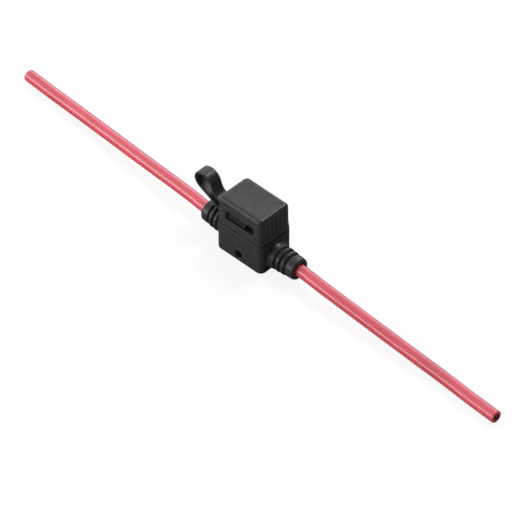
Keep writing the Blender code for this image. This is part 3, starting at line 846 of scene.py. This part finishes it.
lead_spacing = 0.0015  # distance between the sections that a lead is built from
lead_points = (  # along the visible length, down towards the bench, right across, left across
    (0.00, 0.00, 0.0000, 0.0000),
    (0.12, 0.03, -0.0009, 0.0012),
    (0.36, 0.36, -0.0016, 0.0035),
    (0.60, 0.76, -0.0020, 0.0061),
    (0.75, 0.95, -0.0024, 0.0075),
    (0.86, 1.00, -0.0032, 0.0082),
    (0.93, 1.00, -0.0036, 0.0087),
    (1.00, 1.00, -0.0040, 0.0092),
)


def lead_route(lead, boot, side):
    """A lead's middle line: straight out of the boot, down on to the bench and along it."""
    drop = boot.axis - lead.resting
    visible = lead.right if side > 0 else lead.left
    points = [Vector((side * lead.start, 0.0, boot.axis))]
    for along, down, right_across, left_across in lead_points:
        across = right_across if side > 0 else left_across
        reach = boot_tip + visible * along
        points.append(Vector((side * reach, across, boot.axis - drop * down)))
    return smooth_route(points, lead_spacing)


def line_object(name, route):
    """A bare line of edges along a route, for a node tree to sweep."""
    mesh = bpy.data.meshes.new(name)
    edges = [(start, start + 1) for start in range(len(route) - 1)]
    mesh.from_pydata([tuple(place) for place in route], edges, [])
    return add_object(name, mesh)


def tree_with(name, inputs):
    """A geometry node tree with a geometry input and output and named inputs."""
    tree = bpy.data.node_groups.new(name, "GeometryNodeTree")
    tree.is_modifier = True
    tree.interface.new_socket("Geometry", in_out="INPUT", socket_type="NodeSocketGeometry")
    for label, kind in inputs.items():
        tree.interface.new_socket(label, in_out="INPUT", socket_type=f"NodeSocket{kind}")
    tree.interface.new_socket("Geometry", in_out="OUTPUT", socket_type="NodeSocketGeometry")
    return tree


def finish_tree(tree, geometry, material):
    """Every tree ends in real geometry with its material."""
    real = add_node(tree, "GeometryNodeRealizeInstances", {"Geometry": geometry})
    sockets = {"Geometry": (real, 0), "Material": material}
    painted = add_node(tree, "GeometryNodeSetMaterial", sockets)
    add_node(tree, "NodeGroupOutput", {"Geometry": (painted, 0)})
    return tree


def insulation_tree():
    """Sweeps a round tube along a line."""
    inputs = {"Radius": "Float", "Sides": "Int", "Material": "Material"}
    tree = tree_with("Lead insulation", inputs)
    given = tree.nodes.new("NodeGroupInput")
    line = add_node(tree, "GeometryNodeMeshToCurve", {"Mesh": (given, "Geometry")})
    sockets = {"Radius": (given, "Radius"), "Resolution": (given, "Sides")}
    ring = add_node(tree, "GeometryNodeCurvePrimitiveCircle", sockets)
    sweep = {"Curve": (line, 0), "Profile Curve": (ring, 0)}
    tube = add_node(tree, "GeometryNodeCurveToMesh", sweep)
    return finish_tree(tree, (tube, 0), (given, "Material"))


def strand_tree():
    """Lays strands along a line: one in the middle and rings of six, twelve and eighteen."""
    inputs = {"Strand Radius": "Float", "Twist": "Float", "Material": "Material"}
    tree = tree_with("Copper strands", inputs)
    given = tree.nodes.new("NodeGroupInput")
    line = add_node(tree, "GeometryNodeMeshToCurve", {"Mesh": (given, "Geometry")})
    distance = tree.nodes.new("GeometryNodeSplineParameter")
    turn = multiplied(tree, (distance, "Length"), (given, "Twist"))
    twisted = add_node(tree, "GeometryNodeSetCurveTilt", {"Curve": (line, 0), "Tilt": turn})
    places = tree.nodes.new("GeometryNodeJoinGeometry")
    ring_gap, same_place = 2.02, 0.00001
    for ring in range(4):
        away = multiplied(tree, (given, "Strand Radius"), ring_gap * ring)
        sockets = {"Vertices": max(3, 6 * ring), "Radius": away}
        circle = add_node(tree, "GeometryNodeMeshCircle", sockets)
        if ring == 0:
            sockets = {"Geometry": (circle, 0), "Distance": same_place}
            circle = add_node(tree, "GeometryNodeMergeByDistance", sockets)
        tree.links.new(circle.outputs[0], places.inputs[0])
    sockets = {"Radius": (given, "Strand Radius"), "Resolution": 9}
    strand = add_node(tree, "GeometryNodeCurvePrimitiveCircle", sockets)
    sockets = {"Points": (places, 0), "Instance": (strand, 0)}
    bundle = add_node(tree, "GeometryNodeInstanceOnPoints", sockets)
    section = add_node(tree, "GeometryNodeRealizeInstances", {"Geometry": (bundle, 0)})
    sweep = {"Curve": (twisted, 0), "Profile Curve": (section, 0), "Fill Caps": True}
    strands = add_node(tree, "GeometryNodeCurveToMesh", sweep)
    return finish_tree(tree, (strands, 0), (given, "Material"))


def run_tree(thing, tree, values):
    """Run a node tree on an object and leave its result as a plain mesh."""
    modifier = thing.modifiers.new(tree.name, "NODES")
    modifier.node_group = tree
    given = [item for item in tree.interface.items_tree if item.in_out == "INPUT"]
    sockets = {item.name: item.identifier for item in given}
    for label, value in values.items():
        modifier[sockets[label]] = value
    return settle(thing)


lead_sides = 64
wall_play = 0.00005  # how far the insulation's bore stands off the bundle
cut_round = 0.00045  # radius of the edges of a cut end
strands_inside = 0.00015  # how far the strands end inside the cut
strands_start = 0.0112  # distance of the strands' inner end from the middle
strands_across = 7.1  # width of the bundle in strands, with a little air
strand_twist = 170.0  # turn of the bundle along the lead, in radians per metre


class FUSEHOLDER_OT_leads(bpy.types.Operator):
    """Build the two leads: glossy insulation over a bundle of copper strands"""

    bl_idname = "fuse_holder.build_leads"
    bl_label = "Leads"

    def execute(self, context):
        lead, boot = context.scene.holder_lead, context.scene.holder_boot
        tube_tree, bundle_tree = insulation_tree(), strand_tree()
        for side, word in ((1, "right"), (-1, "left")):
            route = lead_route(lead, boot, side)
            tube = run_tree(line_object(f"{word}_insulation", route), tube_tree, {
                "Radius": lead.diameter / 2,
                "Sides": lead_sides,
                "Material": materials["insulation"],
            })
            wall = tube.modifiers.new("wall", "SOLIDIFY")
            wall.thickness = lead.diameter / 2 - lead.bundle / 2 - wall_play
            wall.offset = -1.0
            round_edges(tube, cut_round, segments=4, angle=60)
            ahead = (route[-1] - route[-2]).normalized()
            inner = Vector((side * strands_start, 0.0, boot.axis))
            core = [inner, *route[:-1], route[-1] - ahead * strands_inside]
            strands = run_tree(line_object(f"{word}_strands", core), bundle_tree, {
                "Strand Radius": lead.bundle / 2 / strands_across,
                "Twist": strand_twist,
                "Material": materials["copper"],
            })
            present(tube, "holder", materials["insulation"], "pink_pvc", f"{word}_lead")
            present(strands, "holder", materials["copper"], "copper", f"{word}_conductor")
            whole = sum((b - a).length for a, b in zip(route, route[1:]))
        return {"FINISHED"}


# The insides


def softened(node, name):
    """A copy of a node's solid with its edges rounded."""
    same_place, same_plane = 1e-6, math.radians(1)
    shape = bmesh.new()
    shape.from_mesh(frame["nodes"][node].data)
    bmesh.ops.remove_doubles(shape, verts=shape.verts, dist=same_place)
    bmesh.ops.dissolve_limit(shape, angle_limit=same_plane, verts=shape.verts, edges=shape.edges)
    piece = add_object(name, finished(shape, name))
    return round_edges(piece, 0.00012, segments=2, angle=40)


class FUSEHOLDER_OT_insides(bpy.types.Operator):
    """Build the stiff carrier, the fuse and the metal parts"""

    bl_idname = "fuse_holder.build_insides"
    bl_label = "Carrier, fuse and terminals"

    def execute(self, context):
        carrier = softened("socket_carrier", "fuse_carrier")
        present(carrier, "holder", materials["stiff"], "stiff_black", "socket_carrier")
        body = softened("fuse_body", "fuse_shell")
        present(body, "fuse", materials["window_green"], "clear_green", "fuse_body")
        metals = {"right_terminal": "brass", "left_terminal": "brass", "fuse_element": "zinc"}
        for node, label in metals.items():
            metal = frame["nodes"][node]
            metal.data.materials.clear()
            metal.data.materials.append(materials[label])
        return {"FINISHED"}


# The stage


def bench_finish(tone):
    """A bench that is white to the eye but a dark grey lit surface in reflections, with a quieter
    bounce on to the part.
    """
    glow_level, bounce = 0.87, 0.86
    material = bpy.data.materials.new("bench")
    material.use_nodes = True
    tree = material.node_tree
    tree.nodes.clear()
    rays = tree.nodes.new("ShaderNodeLightPath")
    kinds = ("Camera", "Glossy", "Transmission")
    camera, glossy, clear = ((rays, f"Is {kind} Ray") for kind in kinds)
    level = multiplied(tree, camera, glow_level)
    seen = add_node(tree, "ShaderNodeBsdfDiffuse", {"Color": (*tone, 1.0)})
    glow = add_node(tree, "ShaderNodeEmission", {"Strength": level})
    bright = add_node(tree, "ShaderNodeAddShader", {0: (seen, 0), 1: (glow, 0)})
    quiet = add_node(tree, "ShaderNodeBsdfDiffuse", {"Color": (bounce, bounce, bounce, 1.0)})
    either = add_node(tree, "ShaderNodeMath", {0: camera, 1: glossy}, operation="MAXIMUM")
    direct = add_node(tree, "ShaderNodeMath", {0: (either, 0), 1: clear}, operation="MAXIMUM")
    sockets = {"Fac": (direct, 0), 1: (quiet, 0), 2: (bright, 0)}
    blend = add_node(tree, "ShaderNodeMixShader", sockets)
    add_node(tree, "ShaderNodeOutputMaterial", {"Surface": (blend, 0)})
    return material


def set_world(bright_side, low, high):
    """A bright wall on one side that fades to a dim room. The camera itself sees only white."""
    fade_end = 0.85  # cosine of the angle from the bright side at which the wall is full
    world = bpy.data.worlds.new("studio")
    bpy.context.scene.world = world
    world.use_nodes = True
    tree = world.node_tree
    place = tree.nodes.new("ShaderNodeTexCoord")
    sockets = {0: (place, "Generated"), 1: Vector(bright_side).normalized()}
    facing = add_node(tree, "ShaderNodeVectorMath", sockets, operation="DOT_PRODUCT")
    sockets = {"Value": (facing, "Value"), "From Min": 0.0, "From Max": fade_end}
    sockets.update({"To Min": low, "To Max": high})
    wall = add_node(tree, "ShaderNodeMapRange", sockets, interpolation_type="SMOOTHSTEP")
    rays = tree.nodes.new("ShaderNodeLightPath")
    sockets = {"Factor": (rays, "Is Camera Ray"), "A": (wall, "Result"), "B": 1.0}
    level = add_node(tree, "ShaderNodeMix", sockets)
    background = tree.nodes["Background"]
    background.inputs["Color"].default_value = (1.0, 1.0, 1.0, 1.0)
    tree.links.new(level.outputs["Result"], background.inputs["Strength"])


def look_at_part(name, data, towards, distance):
    """Add a lamp or a camera that stands in a direction from the part and looks back at it."""
    holder = add_object(name, data)
    holder.location = towards * distance
    holder.rotation_euler = (-towards).to_track_quat("-Z", "Y").to_euler()
    return holder


def area_lamp(name, direction, distance, size, power):
    """A soft box that looks at the part from a direction."""
    lamp = bpy.data.lights.new(name, "AREA")
    lamp.shape = "RECTANGLE"
    lamp.size, lamp.size_y = size
    lamp.energy = power
    look_at_part(name, lamp, Vector(direction).normalized(), distance)


def view_direction(azimuth, elevation):
    """The way from the part to a viewer, in degrees from the front round to the right and up."""
    a, e = math.radians(azimuth), math.radians(elevation)
    return Vector((math.sin(a) * math.cos(e), -math.cos(a) * math.cos(e), math.sin(e)))


class FUSEHOLDER_OT_stage(bpy.types.Operator):
    """Set up the white bench, the soft lights and the camera"""

    bl_idname = "fuse_holder.build_stage"
    bl_label = "Bench, lights and camera"

    image_size = (526, 514)
    pixels_per_metre = 2300.0
    middle_pixel = (253.9, 250.4)
    azimuth, elevation, distance = 44.0, 44.0, 2.2
    lamps = (  # name, direction, distance, size and power
        ("overhead", (0.0, 0.52, 0.85), 1.2, (0.35, 0.38), 6.6),
        ("back_wall", (-0.50, 0.80, 0.38), 1.1, (0.9, 0.55), 3.0),
        ("front_strip", (-0.50, -0.77, 0.22), 1.0, (1.1, 0.36), 5.6),
    )

    def execute(self, context):
        scene = context.scene
        shape = bmesh.new()
        bench_reach, far_enough = 3.0, 20.0
        bmesh.ops.create_grid(shape, x_segments=4, y_segments=4, size=bench_reach)
        bench = add_object("bench_top", finished(shape, "bench_top"))
        bench.data.materials.append(bench_finish(scene.holder_colours.bench))
        set_world(bright_side=(-0.95, 0.0, 0.25), low=0.10, high=1.10)
        for lamp in self.lamps:
            area_lamp(*lamp)
        wide, high = self.image_size
        camera = bpy.data.cameras.new("camera")
        camera.sensor_fit = "HORIZONTAL"
        camera.lens = camera.sensor_width * self.pixels_per_metre * self.distance / wide
        camera.shift_x = (wide / 2 - self.middle_pixel[0]) / wide
        camera.shift_y = (self.middle_pixel[1] - high / 2) / wide
        camera.clip_end = far_enough
        towards = view_direction(self.azimuth, self.elevation)
        scene.camera = look_at_part("camera", camera, towards, self.distance)
        scene.view_settings.view_transform = "Standard"
        return {"FINISHED"}


class FUSEHOLDER_PT_panel(bpy.types.Panel):
    """Lists the builders and the sizes and colours that they use"""

    bl_idname = "FUSEHOLDER_PT_panel"
    bl_label = "Fuse Holder"
    bl_space_type = "VIEW_3D"
    bl_region_type = "UI"
    bl_category = "Fuse Holder"

    def draw(self, context):
        for operator in operators:
            self.layout.operator(operator.bl_idname)
        for label, attribute, group in groups:
            box = self.layout.box()
            box.label(text=label)
            for name in group.__annotations__:
                box.prop(getattr(context.scene, attribute), name)


groups = (
    ("Box", "holder_box", BoxSizes),
    ("Boots", "holder_boot", BootSizes),
    ("Latch", "holder_latch", LatchSizes),
    ("Strap", "holder_strap", StrapSizes),
    ("Leads", "holder_lead", LeadSizes),
    ("Colours", "holder_colours", HolderColours),
)
operators = (
    FUSEHOLDER_OT_stage,
    FUSEHOLDER_OT_leads,
    FUSEHOLDER_OT_base,
    FUSEHOLDER_OT_cap,
    FUSEHOLDER_OT_strap,
    FUSEHOLDER_OT_insides,
)
materials = {}


def make_materials(colours):
    materials.update(
        rubber=rubber_finish(colours.rubber),
        stiff=stiff_finish(colours.stiff),
        insulation=insulation_finish(colours.insulation),
        copper=metal_finish("copper", colours.copper, 0.45, 0.0004, (20.0, 1.0, 1.0)),
        brass=metal_finish("brass", colours.brass, 0.7, 0.0003, (1.0, 1.0, 12.0)),
        zinc=metal_finish("zinc", colours.zinc, 0.8, 0.0003, (1.0, 1.0, 12.0)),
        window_green=clear_finish(colours.window_green),
    )


def register():
    for _, attribute, group in groups:
        bpy.utils.register_class(group)
        setattr(bpy.types.Scene, attribute, bpy.props.PointerProperty(type=group))
    for kind in (*operators, FUSEHOLDER_PT_panel):
        bpy.utils.register_class(kind)


def unregister():
    for kind in (FUSEHOLDER_PT_panel, *reversed(operators)):
        bpy.utils.unregister_class(kind)
    for _, attribute, group in reversed(groups):
        delattr(bpy.types.Scene, attribute)
        bpy.utils.unregister_class(group)


def main():
    register()
    for thing in [o for o in bpy.context.scene.objects if o.name in ("Cube", "Light", "Camera")]:
        bpy.data.objects.remove(thing, do_unlink=True)
    make_materials(bpy.context.scene.holder_colours)
    bpy.ops.fuse_holder.build_stage()
    bpy.ops.fuse_holder.build_leads()
    bpy.ops.fuse_holder.build_base()
    bpy.ops.fuse_holder.build_cap()
    bpy.ops.fuse_holder.build_strap()
    bpy.ops.fuse_holder.build_insides()


if __name__ == "__main__":
    main()
